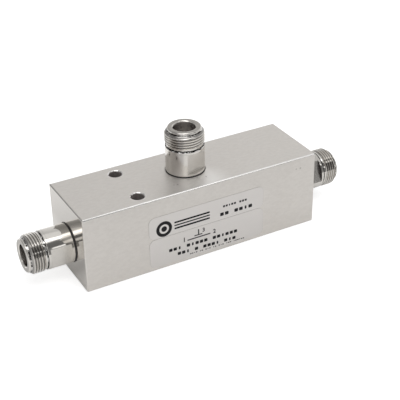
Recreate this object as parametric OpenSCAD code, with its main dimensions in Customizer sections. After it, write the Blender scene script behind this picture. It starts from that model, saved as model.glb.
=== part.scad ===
/* [Housing] */
// Length of the square bar, end face to end face
housing_length = 103; // [92:0.5:130]
// Width and height of the square bar
housing_section = 32; // [30:0.25:40]
// Chamfer on all twelve outer edges
edge_chamfer = 0.35; // [0.2:0.05:1]
// Height of the through line's axis above the underside
line_axis_height = 14; // [11:0.1:15.5]
// Bore that the main inner conductor runs in
line_bore_d = 12.7; // [11.5:0.1:13.2]
// Bore that the tap conductor rises in
tap_bore_d = 11; // [9.5:0.1:12.5]

/* [Mounting holes] */
// Diameter of the two plain holes through the bar
mounting_hole_d = 5.2; // [4:0.1:5.8]
// Distance between the two holes, across the bar
mounting_hole_spacing = 20; // [19.5:0.1:23.5]
// Distance of both holes from the input end face
mounting_hole_inset = 25.6; // [16:0.1:40]
// Chamfer at both mouths of each hole
mounting_hole_chamfer = 0.35; // [0.1:0.05:0.8]

/* [Jack shell outside] */
// How far each jack stands out of its housing face
jack_reach = 18.75; // [17.5:0.05:24]
// Diameter of the plain round body
jack_body_d = 15.7; // [15.5:0.05:17]
// Distance across the two wrench flats
wrench_flats = 12.7; // [11.5:0.1:15]
// Round stretch left between the seal and the flats
flat_margin_rear = 0.8; // [0.4:0.1:2]
// Round stretch left between the flats and the groove
flat_margin_front = 1.1; // [0.5:0.1:3]
// Edge break on the body's ends
jack_body_chamfer = 0.2; // [0.05:0.05:0.4]
// Diameter at the bottom of the narrow groove behind the collar
groove_d = 13.4; // [12.6:0.1:15]
// Width of the narrow groove
groove_w = 0.5; // [0.3:0.1:1]
// Diameter of the plain collar behind the thread
collar_d = 15; // [14.6:0.1:15.6]
// Length of the plain collar
collar_length = 0.75; // [0.4:0.05:2]
// Diameter over the thread crests, where the solid is a plain cylinder
thread_d = 15.8; // [15.6:0.05:16.5]
// Length of the thread, five turns of 24 to the inch
thread_length = 5.29; // [4.3:0.01:7]
// Chamfer at both ends of the thread
thread_chamfer = 0.3; // [0.1:0.05:0.35]
// Diameter of the smooth nose in front of the thread
nose_d = 13.9; // [12.8:0.1:14.5]
// Length of the smooth nose
nose_length = 1.2; // [0.8:0.1:3]
// Chamfer on the nose's outer rim
nose_chamfer = 0.4; // [0.1:0.05:0.7]

/* [Jack shell inside] */
// Bore that takes the plug's outer contact
mouth_bore_d = 8.1; // [7.6:0.01:8.6]
// Chamfer at the mouth
mouth_chamfer = 0.45; // [0.1:0.05:0.8]
// Depth of the mating plane behind the mouth
mating_plane_depth = 9.1; // [8.5:0.05:10]
// Bore behind the mating plane
shell_bore_d = 7; // [6.6:0.05:7.5]
// Distance of the insulator's stop outside the housing face
insulator_stop = 2; // [1.2:0.1:3]
// Bore behind the insulator's stop, for the flange and the ring
rear_bore_d = 9.9; // [9:0.1:10.6]
// Length of the threaded shank inside the housing
shank_depth = 8; // [6.5:0.1:8.8]
// Diameter of the threaded shank
shank_d = 14.1; // [13.9:0.05:14.8]
// Chamfer on the shank's inner end
shank_chamfer = 0.25; // [0.1:0.05:0.4]
// Radial clearance of the shank in the housing
shank_clearance = 0.05; // [0.02:0.01:0.1]

/* [Seal rings] */
// Thickness of the free rubber cord
seal_cord_d = 1.3; // [1.1:0.05:1.6]
// How much the cord is squeezed along the jack's axis
seal_squeeze = 0.1; // [0.05:0.01:0.25]
// How far the squeezed ring shows above the housing face
seal_show = 0.6; // [0.3:0.05:0.8]
// Depth of the neck turned into the shank for the ring
seal_neck_depth = 0.35; // [0.2:0.05:0.5]
// Radial clearance inside and outside the ring
seal_clearance = 0.05; // [0.02:0.01:0.2]

/* [Centre contacts] */
// Outside diameter of the spring socket
contact_d = 3.04; // [2.8:0.02:3.3]
// Depth of the socket's tip behind the mouth
contact_recess = 5; // [4.7:0.05:5.3]
// Diameter of the pin hole in the socket
pin_hole_d = 1.66; // [1.6:0.01:1.8]
// Depth of the pin hole
pin_hole_depth = 5.6; // [5:0.1:7]
// Width of each of the four spring slots
spring_slot_w = 0.25; // [0.15:0.05:0.5]
// Length of the spring slots
spring_slot_length = 4.4; // [3:0.1:4.9]
// Chamfer on the socket's tip
contact_chamfer = 0.2; // [0.1:0.05:0.3]
// Distance of the contact's shoulder outside the housing face
contact_shoulder = 6; // [4:0.1:7]
// Diameter of the stem behind the shoulder
stem_d = 2.2; // [1.8:0.1:2.4]
// How deep the stem goes into its conductor rod
stem_grip = 4; // [2.5:0.1:5]
// Radial clearance of the stem and socket in their holes
contact_clearance = 0.03; // [0.01:0.01:0.05]

/* [Insulators and retaining rings] */
// Thickness of the insulator's rear flange
insulator_flange = 3; // [2.4:0.1:4]
// How far the insulator's front face lies behind the mating plane
insulator_setback = 0.2; // [0:0.05:0.5]
// Radial clearance of the insulator in the shell
insulator_clearance = 0.05; // [0.02:0.01:0.1]
// Bore of the ring that holds the insulator in
ring_bore_d = 8; // [7:0.1:8.4]
// Radial clearance of the ring in the shell
ring_clearance = 0.03; // [0.01:0.01:0.05]
// How far the ring's end lies inside the shank's end
ring_setback = 0.1; // [0:0.05:0.5]
// Width of the two spanner slots
spanner_slot_w = 1.4; // [1:0.1:2]
// Depth of the two spanner slots
spanner_slot_depth = 1.2; // [0.8:0.1:2]

/* [Inner conductors] */
// Diameter of each rod's neck, inside the retaining ring
neck_d = 3.5; // [3.1:0.1:3.9]
// Diameter of the plain output rod
line_rod_d = 5.5; // [5:0.1:6]
// Diameters of the input rod's three steps, thinnest first
transformer_d = [5.5, 6.1, 7]; // [5:0.1:8]
// Length of the chamfer at each step of a rod
rod_chamfer = 0.2; // [0.1:0.05:0.4]
// Diameter of the spigots that enter the junction
spigot_d = 3; // [2.4:0.1:3.4]
// Length of the spigots
spigot_length = 2.8; // [2:0.1:3.5]
// Length of the junction
junction_length = 10; // [9:0.5:14]
// Diameter of the junction
junction_d = 8.4; // [8:0.1:10]
// Height of the junction's flat top above the line's axis
junction_flat = 3.6; // [3:0.1:3.9]
// Diameter of the tap rod's lower stretch
tap_rod_d = 2.6; // [2.4:0.1:3]
// Diameter of the tap rod's foot, in the junction
tap_foot_d = 2; // [1.6:0.1:2.2]
// Length of the tap rod's foot
tap_foot_length = 2.2; // [1.5:0.1:2.6]
// Radial clearance of the spigots and the foot in the junction
joint_clearance = 0.03; // [0.01:0.01:0.05]
// Room left at the bottom of each blind hole
hole_end_room = 0.2; // [0.1:0.05:0.5]

/* [Support beads] */
// Width of each bead along the line
bead_w = 3; // [2:0.1:4]
// Diameter of the waist that the bead snaps round
bead_waist_d = 4.4; // [3.6:0.1:4.8]
// Clearance of the bead in its waist and in the bore
bead_clearance = 0.05; // [0.02:0.01:0.1]
// How much narrower the bead's snap slot is than the waist
bead_snap = 0.6; // [0.3:0.1:1]

/* [Labels] */
// Length of both labels
label_length = 51.5; // [40:0.1:60]
// Height of the upper label
upper_label_height = 9.8; // [8:0.1:12]
// Height of the lower label
lower_label_height = 12.8; // [8:0.1:13]
// Thickness of the label film
label_t = 0.12; // [0.05:0.01:0.3]
// Corner radius of the labels
label_corner = 2.6; // [0.5:0.1:4]
// Gap between the two labels
label_gap = 0.1; // [0:0.05:1]
// Height of the gap's middle above the underside
label_middle_height = 14.4; // [13.6:0.1:16]
// Distance of the labels' middle from the tap, towards the output
label_offset = 1; // [-10:0.1:10]

/* [How the jacks stopped when screwed home] */
// Turn of the input jack's flats
input_turn = -9; // [-90:1:90]
// Turn of the output jack's flats
output_turn = -21; // [-90:1:90]
// Turn of the tap jack's flats
tap_turn = 16; // [-90:1:90]

/* [Hidden] */
$fn = 96;
// Small overlap that lets a cut run clear through a face
cut = 0.5;

// Along a jack's own axis: 0 is the housing face, positive is outwards
seal_height = seal_cord_d - seal_squeeze;
gland_depth = seal_height - seal_show;
body_start = seal_show;
nose_start = jack_reach - nose_length;
thread_start = nose_start - thread_length;
collar_start = thread_start - collar_length;
groove_start = collar_start - groove_w;
flat_start = body_start + flat_margin_rear;
flat_end = groove_start - flat_margin_front;
mating_plane = jack_reach - mating_plane_depth;
contact_tip = jack_reach - contact_recess;
flange_rear = insulator_stop - insulator_flange;
stem_end = flange_rear - stem_grip;

// Radii that two pieces share
shank_r = shank_d / 2;
neck_of_seal_r = shank_r - seal_neck_depth;
seal_middle_r = neck_of_seal_r + seal_clearance + seal_cord_d / 2;
gland_r = seal_middle_r + seal_cord_d / 2 + seal_clearance;

// Along the bar: 0 is the tap's axis, positive is towards the output
half_length = housing_length / 2;
half_section = housing_section / 2;
holes_x = mounting_hole_inset - half_length;
run_start = half_length - shank_depth;
run_end = junction_length / 2;
step_length = (run_start - run_end) / len(transformer_d);
bead_x = run_start - step_length / 2;

// Along a line rod: 0 is its end against the insulator, positive is towards the tap
rod_start = half_length + flange_rear;
neck_end = rod_start - run_start;
rod_end = rod_start - run_end;
bead_middle = rod_start - bead_x;

// A jack is drawn upright on the origin, and these stand it on its face
module on_input_face() {
    translate([-half_length, 0, line_axis_height]) rotate([0, -90, 0]) children();
}

module on_output_face() {
    translate([half_length, 0, line_axis_height]) rotate([0, 90, 0]) children();
}

module on_top_face() {
    translate([0, 0, housing_section]) children();
}

module on_every_face() {
    on_input_face() children();
    on_output_face() children();
    on_top_face() children();
}

// Square with 45 degree corners, centred
module chamfered_rectangle(width, height, chamfer) {
    x = width / 2;
    y = height / 2;
    c = chamfer;
    polygon([
        [-x + c, -y], [x - c, -y], [x, -y + c], [x, y - c],
        [x - c, y], [-x + c, y], [-x, y - c], [-x, -y + c]
    ]);
}

// Bar with every edge chamfered, standing on the ground
module chamfered_bar(length, section, chamfer) {
    translate([0, 0, section / 2]) intersection() {
        rotate([90, 0, 90])
            linear_extrude(length, center = true) chamfered_rectangle(section, section, chamfer);
        rotate([90, 0, 0])
            linear_extrude(section, center = true) chamfered_rectangle(length, section, chamfer);
        linear_extrude(section, center = true) chamfered_rectangle(length, section, chamfer);
    }
}

// Seat for one jack: the tapped hole for its shank and the shallow gland for its seal
module jack_seat() {
    translate([0, 0, -shank_depth]) cylinder(h = shank_depth + cut, r = shank_r + shank_clearance);
    translate([0, 0, -gland_depth]) cylinder(h = gland_depth + cut, r = gland_r);
}

module mounting_hole() {
    r = mounting_hole_d / 2;
    c = mounting_hole_chamfer;
    translate([0, 0, -cut]) cylinder(h = housing_section + 2 * cut, r = r);
    translate([0, 0, -cut]) cylinder(h = cut + c, r1 = r + c + cut, r2 = r);
    translate([0, 0, housing_section - c]) cylinder(h = cut + c, r1 = r, r2 = r + c + cut);
}

module housing() {
    color([0.76, 0.75, 0.72]) difference() {
        chamfered_bar(housing_length, housing_section, edge_chamfer);
        translate([-half_length - cut, 0, line_axis_height])
            rotate([0, 90, 0]) cylinder(h = housing_length + 2 * cut, d = line_bore_d);
        translate([0, 0, line_axis_height])
            cylinder(h = housing_section - line_axis_height + cut, d = tap_bore_d);
        on_every_face() jack_seat();
        for (side = [-1, 1])
            translate([holes_x, side * mounting_hole_spacing / 2, 0]) mounting_hole();
    }
}

// Half section of the turned shell, rear end first, up the outside and down the inside
function shell_outline() = [
    [rear_bore_d / 2, -shank_depth],
    [shank_r - shank_chamfer, -shank_depth],
    [shank_r, -shank_depth + shank_chamfer],
    [shank_r, -gland_depth - shank_chamfer],
    [neck_of_seal_r, -gland_depth],
    [neck_of_seal_r, body_start],
    [jack_body_d / 2 - jack_body_chamfer, body_start],
    [jack_body_d / 2, body_start + jack_body_chamfer],
    [jack_body_d / 2, groove_start - jack_body_chamfer],
    [jack_body_d / 2 - jack_body_chamfer, groove_start],
    [groove_d / 2, groove_start],
    [groove_d / 2, collar_start],
    [collar_d / 2, collar_start],
    [collar_d / 2, thread_start],
    [thread_d / 2 - thread_chamfer, thread_start],
    [thread_d / 2, thread_start + thread_chamfer],
    [thread_d / 2, nose_start - thread_chamfer],
    [thread_d / 2 - thread_chamfer, nose_start],
    [nose_d / 2, nose_start],
    [nose_d / 2, jack_reach - nose_chamfer],
    [nose_d / 2 - nose_chamfer, jack_reach],
    [mouth_bore_d / 2 + mouth_chamfer, jack_reach],
    [mouth_bore_d / 2, jack_reach - mouth_chamfer],
    [mouth_bore_d / 2, mating_plane],
    [shell_bore_d / 2, mating_plane],
    [shell_bore_d / 2, insulator_stop],
    [rear_bore_d / 2, insulator_stop]
];

// Nickel plated brass shell with two wrench flats
module jack_shell(turn) {
    color([0.8, 0.79, 0.76]) difference() {
        rotate_extrude() polygon(shell_outline());
        rotate(turn) for (side = [-1, 1])
            translate([0, side * (wrench_flats + jack_body_d) / 2, (flat_start + flat_end) / 2])
                cube([2 * jack_body_d, jack_body_d, flat_end - flat_start], center = true);
    }
}

// Rubber ring, squeezed flat between the housing and the jack's body
module jack_seal() {
    color([0.07, 0.07, 0.07]) rotate_extrude() translate([seal_middle_r, seal_show - seal_height / 2])
        intersection() {
            circle(d = seal_cord_d);
            square([2 * seal_cord_d, seal_height], center = true);
        }
}

// Turned insulator with a flange that stops inside the shell
module jack_insulator() {
    hole = contact_clearance;
    front = mating_plane - insulator_setback;
    color([0.95, 0.94, 0.9]) rotate_extrude() polygon([
        [stem_d / 2 + hole, flange_rear],
        [rear_bore_d / 2 - insulator_clearance, flange_rear],
        [rear_bore_d / 2 - insulator_clearance, insulator_stop],
        [shell_bore_d / 2 - insulator_clearance, insulator_stop],
        [shell_bore_d / 2 - insulator_clearance, front],
        [contact_d / 2 + hole, front],
        [contact_d / 2 + hole, contact_shoulder],
        [stem_d / 2 + hole, contact_shoulder]
    ]);
}

// Screwed ring that holds the insulator against its stop
module jack_retaining_ring() {
    ring_end = -shank_depth + ring_setback;
    outer_r = rear_bore_d / 2 - ring_clearance;
    color([0.72, 0.6, 0.32]) difference() {
        translate([0, 0, ring_end]) cylinder(h = flange_rear - ring_end, r = outer_r);
        translate([0, 0, ring_end - cut]) cylinder(h = flange_rear - ring_end + 2 * cut, d = ring_bore_d);
        translate([0, 0, ring_end])
            cube([spanner_slot_w, 2 * rear_bore_d, 2 * spanner_slot_depth], center = true);
    }
}

// Slotted spring socket with a stem behind its shoulder
module jack_contact() {
    color([0.84, 0.82, 0.78]) difference() {
        rotate_extrude() polygon([
            [0, stem_end],
            [stem_d / 2 - contact_chamfer, stem_end],
            [stem_d / 2, stem_end + contact_chamfer],
            [stem_d / 2, contact_shoulder],
            [contact_d / 2, contact_shoulder],
            [contact_d / 2, contact_tip - contact_chamfer],
            [contact_d / 2 - contact_chamfer, contact_tip],
            [pin_hole_d / 2, contact_tip],
            [pin_hole_d / 2, contact_tip - pin_hole_depth],
            [0, contact_tip - pin_hole_depth]
        ]);
        for (turn = [45, 135])
            rotate(turn) translate([0, 0, contact_tip])
                cube([2 * contact_d, spring_slot_w, 2 * spring_slot_length], center = true);
    }
}

// Blind hole for a contact's stem, bored into the origin end of a rod along +X
module stem_socket() {
    translate([-cut, 0, 0]) rotate([0, 90, 0])
        cylinder(h = cut + stem_grip + hole_end_room, r = stem_d / 2 + contact_clearance);
}

// Half section of a rod step, with both ends chamfered
function step_outline(d, from, to) = [
    [from, d / 2 - rod_chamfer],
    [from + rod_chamfer, d / 2],
    [to - rod_chamfer, d / 2],
    [to, d / 2 - rod_chamfer]
];

// Turned rod along +X: [[d, from, to], ...] with a spigot at the far end
module turned_rod(steps) {
    outline = [for (s = steps) each step_outline(s[0], s[1], s[2])];
    spigot_end = rod_end + spigot_length;
    spigot = [[rod_end, spigot_d / 2], [spigot_end, spigot_d / 2], [spigot_end, 0]];
    rotate([90, 0, 90]) rotate_extrude()
        polygon([for (p = concat([[0, 0]], outline, spigot)) [p[1], p[0]]]);
}

// Waist that a support bead snaps into, turned in a step of this diameter
module bead_waist(d) {
    translate([bead_middle, 0, 0]) rotate([0, 90, 0]) difference() {
        cylinder(h = bead_w + 2 * bead_clearance, d = d + 2 * cut, center = true);
        cylinder(h = bead_w + 4 * cut, d = bead_waist_d, center = true);
    }
}

// A rod is drawn along +X from its jack inwards, then stood on the input or the output side
module rod_from(side) {
    translate([0, 0, line_axis_height]) rotate(side < 0 ? 0 : 180)
        translate([-rod_start, 0, 0]) children();
}

// Three rising steps match the input to the two lines that share the power
module input_transformer_rod() {
    steps = [
        for (i = [0 : len(transformer_d) - 1])
            [transformer_d[i], neck_end + i * step_length, neck_end + (i + 1) * step_length]
    ];
    color([0.83, 0.82, 0.8]) rod_from(-1) difference() {
        turned_rod(concat([[neck_d, 0, neck_end]], steps));
        stem_socket();
        bead_waist(transformer_d[0]);
    }
}

module output_line_rod() {
    color([0.83, 0.82, 0.8]) rod_from(1) difference() {
        turned_rod([[neck_d, 0, neck_end], [line_rod_d, neck_end, rod_end]]);
        stem_socket();
        bead_waist(line_rod_d);
    }
}

// Block in the middle of the line, with a flat for the tap rod's shoulder
module tee_junction() {
    hole_r = spigot_d / 2 + joint_clearance;
    hole_depth = spigot_length + hole_end_room;
    color([0.8, 0.78, 0.74]) translate([0, 0, line_axis_height]) difference() {
        rotate([0, 90, 0]) cylinder(h = junction_length, d = junction_d, center = true);
        for (side = [-1, 1])
            translate([side * (junction_length / 2 - hole_depth / 2 + cut / 2), 0, 0])
                rotate([0, 90, 0]) cylinder(h = hole_depth + cut, r = hole_r, center = true);
        translate([0, 0, junction_flat + junction_d / 2])
            cube([2 * junction_length, junction_d, junction_d], center = true);
        translate([0, 0, junction_flat - tap_foot_length - hole_end_room])
            cylinder(h = junction_d, r = tap_foot_d / 2 + joint_clearance);
    }
}

// Rod that carries the tapped share of the power up to the tap jack
module tap_rod() {
    seat = line_axis_height + junction_flat;
    neck_start = housing_section - shank_depth;
    top = housing_section + flange_rear;
    color([0.83, 0.82, 0.8]) difference() {
        rotate_extrude() polygon([
            [0, seat - tap_foot_length],
            [tap_foot_d / 2, seat - tap_foot_length],
            [tap_foot_d / 2, seat],
            [tap_rod_d / 2, seat],
            [tap_rod_d / 2, neck_start],
            [neck_d / 2, neck_start + rod_chamfer],
            [neck_d / 2, top - rod_chamfer],
            [neck_d / 2 - rod_chamfer, top],
            [0, top]
        ]);
        translate([0, 0, top]) rotate([0, 90, 0]) stem_socket();
    }
}

// Split bead that holds a rod in the middle of the bore
module support_bead(side) {
    slot_w = bead_waist_d - bead_snap;
    outer_r = line_bore_d / 2 - bead_clearance;
    color([0.95, 0.94, 0.9]) translate([side * bead_x, 0, line_axis_height]) difference() {
        rotate([0, 90, 0]) cylinder(h = bead_w, r = outer_r, center = true);
        rotate([0, 90, 0])
            cylinder(h = bead_w + 2 * cut, d = bead_waist_d + 2 * bead_clearance, center = true);
        translate([0, 0, line_bore_d / 2]) cube([bead_w + 2 * cut, slot_w, line_bore_d], center = true);
    }
}

module rounded_rectangle(width, height, radius) {
    square([width - 2 * radius, height], center = true);
    square([width, height - 2 * radius], center = true);
    for (x = [-1, 1], y = [-1, 1])
        translate([x * (width / 2 - radius), y * (height / 2 - radius)]) circle(r = radius);
}

// Film label on the front face, above (1) or below (-1) the gap
module front_label(side, height) {
    z = label_middle_height + side * (height + label_gap) / 2;
    color([0.72, 0.71, 0.7]) translate([label_offset, -half_section, z]) rotate([90, 0, 0])
        linear_extrude(label_t) rounded_rectangle(label_length, height, label_corner);
}

module input_jack_shell() { on_input_face() jack_shell(input_turn); }
module output_jack_shell() { on_output_face() jack_shell(output_turn); }
module tap_jack_shell() { on_top_face() jack_shell(tap_turn); }
module input_seal() { on_input_face() jack_seal(); }
module output_seal() { on_output_face() jack_seal(); }
module tap_seal() { on_top_face() jack_seal(); }
module input_insulator() { on_input_face() jack_insulator(); }
module output_insulator() { on_output_face() jack_insulator(); }
module tap_insulator() { on_top_face() jack_insulator(); }
module input_retaining_ring() { on_input_face() jack_retaining_ring(); }
module output_retaining_ring() { on_output_face() jack_retaining_ring(); }
module tap_retaining_ring() { on_top_face() jack_retaining_ring(); }
module input_contact() { on_input_face() jack_contact(); }
module output_contact() { on_output_face() jack_contact(); }
module tap_contact() { on_top_face() jack_contact(); }
module input_support_bead() { support_bead(-1); }
module output_support_bead() { support_bead(1); }
module upper_label() { front_label(1, upper_label_height); }
module lower_label() { front_label(-1, lower_label_height); }

housing();
input_jack_shell();
output_jack_shell();
tap_jack_shell();
input_seal();
output_seal();
tap_seal();
input_insulator();
output_insulator();
tap_insulator();
input_retaining_ring();
output_retaining_ring();
tap_retaining_ring();
input_contact();
output_contact();
tap_contact();
input_transformer_rod();
output_line_rod();
tap_rod();
tee_junction();
input_support_bead();
output_support_bead();
upper_label();
lower_label();
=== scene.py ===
# %% [markdown]
# # A coaxial power tapper, dressed in Blender
#
# The real object is a square aluminium bar with three threaded coaxial jacks. Power enters at the left jack,
# most of it leaves at the right one, and a small known share is tapped off at the jack on top. The bar and
# what is inside it come from the CAD frame. This lesson models the jacks, their seals, insulators and
# contacts, the two labels, and the finish of every surface.

# %% Load the frame
import bpy
import math
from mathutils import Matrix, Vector


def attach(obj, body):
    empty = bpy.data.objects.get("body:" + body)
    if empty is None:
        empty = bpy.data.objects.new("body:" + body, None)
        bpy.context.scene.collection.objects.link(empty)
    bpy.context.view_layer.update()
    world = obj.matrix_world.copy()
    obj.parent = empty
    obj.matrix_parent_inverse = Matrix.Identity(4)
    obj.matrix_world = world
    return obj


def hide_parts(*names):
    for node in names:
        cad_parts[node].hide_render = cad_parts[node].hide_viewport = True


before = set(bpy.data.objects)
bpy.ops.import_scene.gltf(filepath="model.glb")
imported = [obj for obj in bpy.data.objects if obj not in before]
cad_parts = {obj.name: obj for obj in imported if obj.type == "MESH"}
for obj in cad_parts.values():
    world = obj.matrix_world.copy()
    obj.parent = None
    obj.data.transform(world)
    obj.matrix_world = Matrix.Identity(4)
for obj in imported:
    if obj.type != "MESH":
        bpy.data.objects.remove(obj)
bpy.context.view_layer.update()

MM = 0.001
scene = bpy.context.scene
print("frame loaded:", len(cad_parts), "nodes")

# %% [markdown]
# ## Measures
#
# Every length is in millimetres, as on the drawing of the part, and is turned into metres where it is used.
# Along a jack's own axis, 0 is the face of the housing and positive is outwards. The bar lies along X,
# its labels face -Y, and the tap jack stands up along Z.

# %% Measures of the bar and the jacks
BAR_LENGTH = 103.0
BAR_SECTION = 32.0
LINE_HEIGHT = 14.0
JACK_REACH = 18.75
BODY_R = 7.85
FLATS = 12.7
FLAT_START, FLAT_END = 1.4, 9.91
GROOVE_START, COLLAR_START, THREAD_START, NOSE_START = 11.01, 11.51, 12.26, 17.55
THREAD_R, THREAD_ROOT_R, PITCH = 7.9, 7.33, 1.058
MATING_PLANE = 9.65
CONTACT_TIP = 13.75
SEAL_SHOW, SEAL_SUNK, SEAL_CORD, NECK_R = 0.3, 0.6, 1.1, 6.7
HOLES_X, HOLES_Y, HOLE_R = -25.9, 10.0, 2.6

# Where each jack stands, how far it leans over from upright, and how far its flats are turned
SEATS = {
    "input": ((-BAR_LENGTH / 2, 0, LINE_HEIGHT), -90, -9),
    "output": ((BAR_LENGTH / 2, 0, LINE_HEIGHT), 90, -21),
    "tap": ((0, 0, BAR_SECTION), 0, 16),
}
print("bar", BAR_LENGTH, "x", BAR_SECTION, "mm, each jack reaches", JACK_REACH, "mm out of it")

# %% [markdown]
# ## Camera
#
# The view is that of the photograph: from the front left and above, with a long lens, so that the bar's
# edges converge only a little. Place, turn and lens were worked out from the corners of the bar.

# %% Camera
bpy.ops.object.camera_add(
    location=(-0.166416, -0.316128, 0.230203),
    rotation=(1.03311019, 0.01342474, -0.50847259),
)
camera = bpy.context.object
camera.name = "photo_camera"
camera.data.sensor_fit = "HORIZONTAL"
camera.data.sensor_width = 36
camera.data.lens = 92.612
camera.data.clip_start = 0.01
camera.data.clip_end = 20
scene.camera = camera
scene.view_settings.view_transform = "Standard"
print("camera lens", round(camera.data.lens, 1), "mm")

# %% [markdown]
# ## Node helpers
#
# A material is a small graph. These helpers add one node, set what is constant on it and link what isn't,
# so that each finish below reads from top to bottom.

# %% Node helpers
def node(tree, kind, inputs=None, **settings):
    """Adds a node, applies its settings, and links or sets each named input."""
    made = tree.nodes.new(kind)
    for key, value in settings.items():
        setattr(made, key, value)
    for key, value in (inputs or {}).items():
        socket = made.inputs[key]
        if isinstance(value, bpy.types.NodeSocket):
            tree.links.new(value, socket)
        else:
            socket.default_value = value
    return made


# %% Arithmetic on numbers and vectors
def calc(tree, operation, a, b=0.0, c=0.0):
    """One Math node on numbers or sockets."""
    return node(tree, "ShaderNodeMath", {0: a, 1: b, 2: c}, operation=operation).outputs[0]


def product(tree, first, *others):
    """Multiplies shares, so that the result is 1 only where all of them are."""
    for other in others:
        first = calc(tree, "MULTIPLY", first, other)
    return first


def vector_calc(tree, operation, a, b=(0, 0, 0)):
    """One Vector Math node. Some operations give a number, the others a vector."""
    made = node(tree, "ShaderNodeVectorMath", {0: a, 1: b}, operation=operation)
    return made.outputs["Value" if operation in ("DOT_PRODUCT", "LENGTH", "DISTANCE") else "Vector"]


# %% Fades, mixes and noise
def fade(tree, value, start, end, low=0.0, high=1.0):
    """Goes smoothly from low at start to high at end, and stays there."""
    made = node(
        tree, "ShaderNodeMapRange",
        {"Value": value, "From Min": start, "From Max": end, "To Min": low, "To Max": high},
        interpolation_type="SMOOTHSTEP",
    )
    return made.outputs["Result"]


def mix_colours(tree, share, first, second):
    """Mixes two colours by a share from 0 to 1."""
    made = node(tree, "ShaderNodeMix", {0: share}, data_type="RGBA")
    for socket, value in ((made.inputs[6], first), (made.inputs[7], second)):
        if isinstance(value, bpy.types.NodeSocket):
            tree.links.new(value, socket)
        else:
            socket.default_value = (*value, 1)
    return made.outputs[2]


def grain(tree, vector, scale, detail=3.0, roughness=0.5):
    """A Noise texture's value, from 0 to 1."""
    made = node(
        tree, "ShaderNodeTexNoise",
        {"Vector": vector, "Scale": scale, "Detail": detail, "Roughness": roughness},
    )
    return made.outputs["Fac"]


# %% [markdown]
# ## Studio
#
# Polished metal has hardly a colour of its own: it shows the room. So the room matters here. Real lamps and
# cards around the object would do, but they would also light it and throw shadows of their own. A world
# shader is plainer: pale near the floor behind the object, dimmer higher up, dark behind the camera and dim
# on the left, with long lamps drawn in as strips where the jacks show bright lines. The camera sees plain
# white behind the object, and what isn't shiny is lit by one even level, so each colour comes out about as
# written.

# %% An empty room
world = bpy.data.worlds.new("studio")
scene.world = world
world.use_nodes = True
room = world.node_tree
room.nodes.clear()
direction = node(room, "ShaderNodeTexCoord").outputs["Generated"]
height = node(room, "ShaderNodeSeparateXYZ", {0: direction}).outputs["Z"]


# %% Levels by height
def glow_by_height(tree, value, stops):
    """A grey that follows the height of the direction, from -1 straight down to 1 straight up."""
    share = calc(tree, "MULTIPLY_ADD", value, 0.5, 0.5)
    made = node(tree, "ShaderNodeValToRGB", {0: share})
    ramp = made.color_ramp
    ramp.interpolation = "EASE"
    while len(ramp.elements) < len(stops):
        ramp.elements.new(0.5)
    for element, (place, level) in zip(ramp.elements, stops):
        element.position = (place + 1) / 2
        element.color = (level, level, level, 1)
    return made.outputs["Color"]


# Height of the direction, and the level there
base = glow_by_height(room, height, [
    (-1, 0.8), (-0.3, 0.85), (-0.06, 0.98), (0.05, 0.92), (0.2, 0.74), (0.38, 0.64), (0.62, 0.54),
    (0.8, 0.6), (0.9, 0.8), (1, 0.82),
])


# %% Long lamps and dimmed sides
def lamp_strip(tree, start, end, half_width, softness):
    """A straight lamp seen between two directions, as a share from 0 to 1."""
    a, b = Vector(start).normalized(), Vector(end).normalized()
    across = a.cross(b).normalized()
    middle = (a + b).normalized()
    half_length = a.angle(b) / 2
    off = calc(tree, "ABSOLUTE", vector_calc(tree, "DOT_PRODUCT", direction, tuple(across)))
    wide = fade(tree, off, math.sin(math.radians(half_width + softness)), math.sin(math.radians(half_width)))
    near = vector_calc(tree, "DOT_PRODUCT", direction, tuple(middle))
    ends = fade(
        tree, near,
        math.cos(half_length + math.radians(half_width + softness)), math.cos(half_length + math.radians(2)),
    )
    return product(tree, wide, ends)


flat_direction = vector_calc(room, "NORMALIZE", vector_calc(room, "MULTIPLY", direction, (1, 1, 0)))


def room_side(towards, edge, full, kept):
    """Dims one side of the room: kept is the share of light that is left there."""
    facing = vector_calc(room, "DOT_PRODUCT", flat_direction, towards)
    return fade(room, facing, edge, full, 1.0, kept)


# %% Dark side, dim side and lamps
CAMERA_SIDE, LEFT_SIDE = (0.26, -0.966, 0), (-0.87, 0.5, 0)
dark_side = calc(room, "MAXIMUM", room_side(CAMERA_SIDE, 0.64, 0.8, 0.27), fade(room, height, 0.84, 0.9))
dim_side = calc(room, "MAXIMUM", room_side(LEFT_SIDE, 0.2, 0.55, 0.6), fade(room, height, 0.9, 0.97))
level = product(room, base, dark_side, dim_side)
LAMPS = (
    # Start and end direction, half width and softness in degrees, strength
    ((-0.5, -0.08, 0.86), (0.33, -0.25, 0.91), 5, 5, 1.15),
    ((-0.45, -0.2, 0.87), (-0.05, -0.36, 0.93), 7, 5, 0.9),
    ((0.36, -0.46, 0.8), (0.6, -0.53, 0.6), 2.5, 2.5, 1.0),
    ((-0.62, -0.5, 0.56), (-0.16, -0.8, 0.57), 5, 3, 0.75),
    ((0.2, -0.88, 0.43), (0.36, -0.84, 0.42), 2.5, 2, 1.0),
    ((-0.93, 0.22, 0.2), (-0.8, 0.19, 0.65), 5, 4, 0.3),
    ((0.3, 0.83, 0.47), (0.72, 0.5, 0.47), 12, 10, 0.13),
)
for start, end, half_width, softness, strength in LAMPS:
    strip = lamp_strip(room, start, end, half_width, softness)
    level = calc(room, "MULTIPLY_ADD", strip, strength, level)
print("lamps in the room:", len(LAMPS))

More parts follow.
